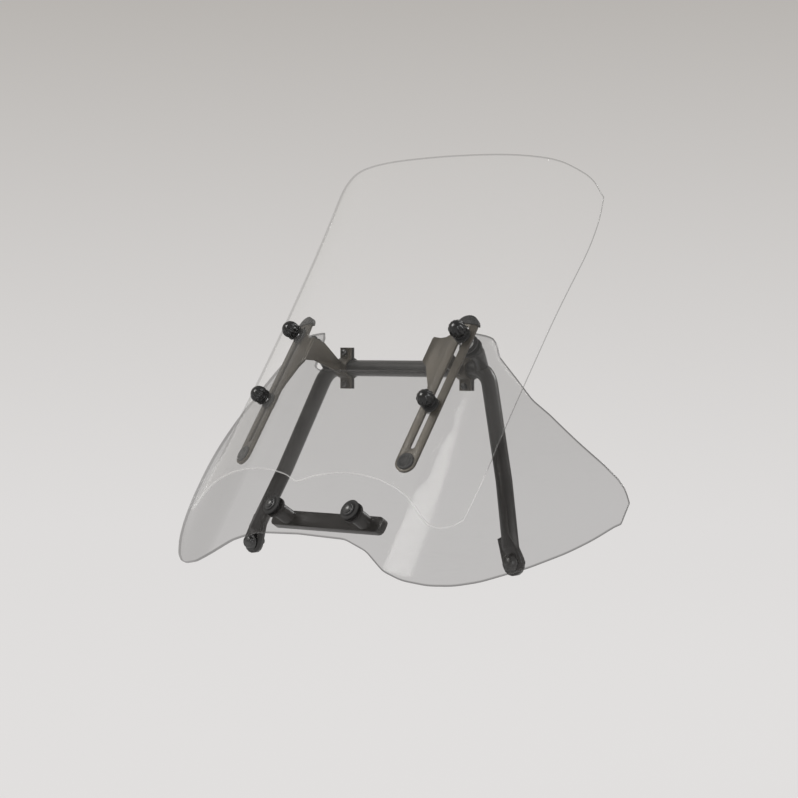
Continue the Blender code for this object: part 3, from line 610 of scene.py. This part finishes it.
def make_camera():
    ahead, right, up = camera_axes()
    place = KNOB_MIDDLE - CAMERA_ASIDE[0] * right - CAMERA_ASIDE[1] * up - CAMERA_DISTANCE * ahead
    lens = bpy.data.cameras.new("camera")
    lens.lens = CAMERA_LENS
    lens.sensor_width = 36.0
    camera = bpy.data.objects.new("camera", lens)
    camera.location = place
    camera.rotation_euler = Vector(ahead).to_track_quat("-Z", "Y").to_euler()
    bpy.context.scene.collection.objects.link(camera)
    bpy.context.scene.camera = camera


def make_stage():
    """A pale bowl: a flat floor that curves up into a round wall. Beyond the flat part the profile's radius
    is 4 + 5 sin a and its height 5 (1 - cos a). It glows with painted light, darker towards its top."""
    angle = np.radians(np.linspace(0, 90, 19))
    radii = np.concatenate([[0.001], np.linspace(1.0, 4.0, 4), 4.0 + 5.0 * np.sin(angle[1:]), [9.0]])
    heights = np.concatenate([np.zeros(5), 5.0 * (1 - np.cos(angle[1:])), [9.0]]) - 0.34
    around = 96
    turn = np.linspace(0, 2 * np.pi, around, endpoint=False)
    points = np.stack([np.outer(radii, np.cos(turn)), np.outer(radii, np.sin(turn)),
                       np.outer(heights, np.ones(around))], -1)
    i, j = np.meshgrid(np.arange(len(radii) - 1), np.arange(around), indexing="ij")
    faces = np.stack([i * around + j, i * around + (j + 1) % around, (i + 1) * around + (j + 1) % around,
                      (i + 1) * around + j], -1).reshape(-1, 4)
    mesh = bpy.data.meshes.new("studio_bowl")
    mesh.from_pydata(points.reshape(-1, 3).tolist(), [], faces.tolist())
    mesh.shade_smooth()
    bowl = bpy.data.objects.new("studio_bowl", mesh)
    bpy.context.scene.collection.objects.link(bowl)
    made, tree, shader = principled("studio_grey_painted_glow")
    where = tree.nodes.new("ShaderNodeTexCoord")
    apart = tree.nodes.new("ShaderNodeSeparateXYZ")
    tree.links.new(where.outputs["Object"], apart.inputs["Vector"])
    # Painted light: the bowl's own glow, brighter low down and darker towards the top, stands in for lamp
    # light falling on it.
    rise = spread(tree, apart.outputs["Z"], -0.3, 1.9, 1.0, 0.0)
    shade = blend_colours(tree, rise, (0.450, 0.428, 0.403), (0.757, 0.742, 0.735))
    tree.links.new(shade, shader.inputs["Emission Color"])
    shader.inputs["Emission Strength"].default_value = 0.92
    shader.inputs["Base Color"].default_value = (0.06, 0.06, 0.06, 1)
    shader.inputs["Roughness"].default_value = 1.0
    shader.inputs["Specular IOR Level"].default_value = 0.0
    mesh.materials.append(made)


def lamp(name, place, aim, size, power, colour=(1.0, 1.0, 1.0)):
    light = bpy.data.lights.new(name, "AREA")
    light.shape = "DISK"
    light.size = size
    light.energy = power
    light.color = colour
    made = bpy.data.objects.new(name, light)
    made.location = place
    made.rotation_euler = (Vector(aim) - Vector(place)).to_track_quat("-Z", "Y").to_euler()
    bpy.context.scene.collection.objects.link(made)


def make_light():
    lamp("key", (-1.2, -2.6, 2.6), (0, 0, 0.15), 1.6, 70.0, (1.0, 0.985, 0.96))
    lamp("fill", (3.0, -0.6, 1.2), (0, 0, 0.15), 1.8, 28.0, (0.96, 0.98, 1.0))
    lamp("back", (0.6, 2.6, 2.2), (0, 0, 0.2), 1.4, 40.0)
    world = bpy.data.worlds.new("studio_air")
    world.use_nodes = True
    world.node_tree.nodes["Background"].inputs["Color"].default_value = (0.60, 0.59, 0.58, 1)
    world.node_tree.nodes["Background"].inputs["Strength"].default_value = 0.7
    bpy.context.scene.world = world
    bpy.context.scene.view_settings.view_transform = "Standard"


make_camera()
make_stage()
make_light()
make_clear_screen()
make_deflector()
make_knobs()
make_bushes()
make_grommets()
finish_nodes()
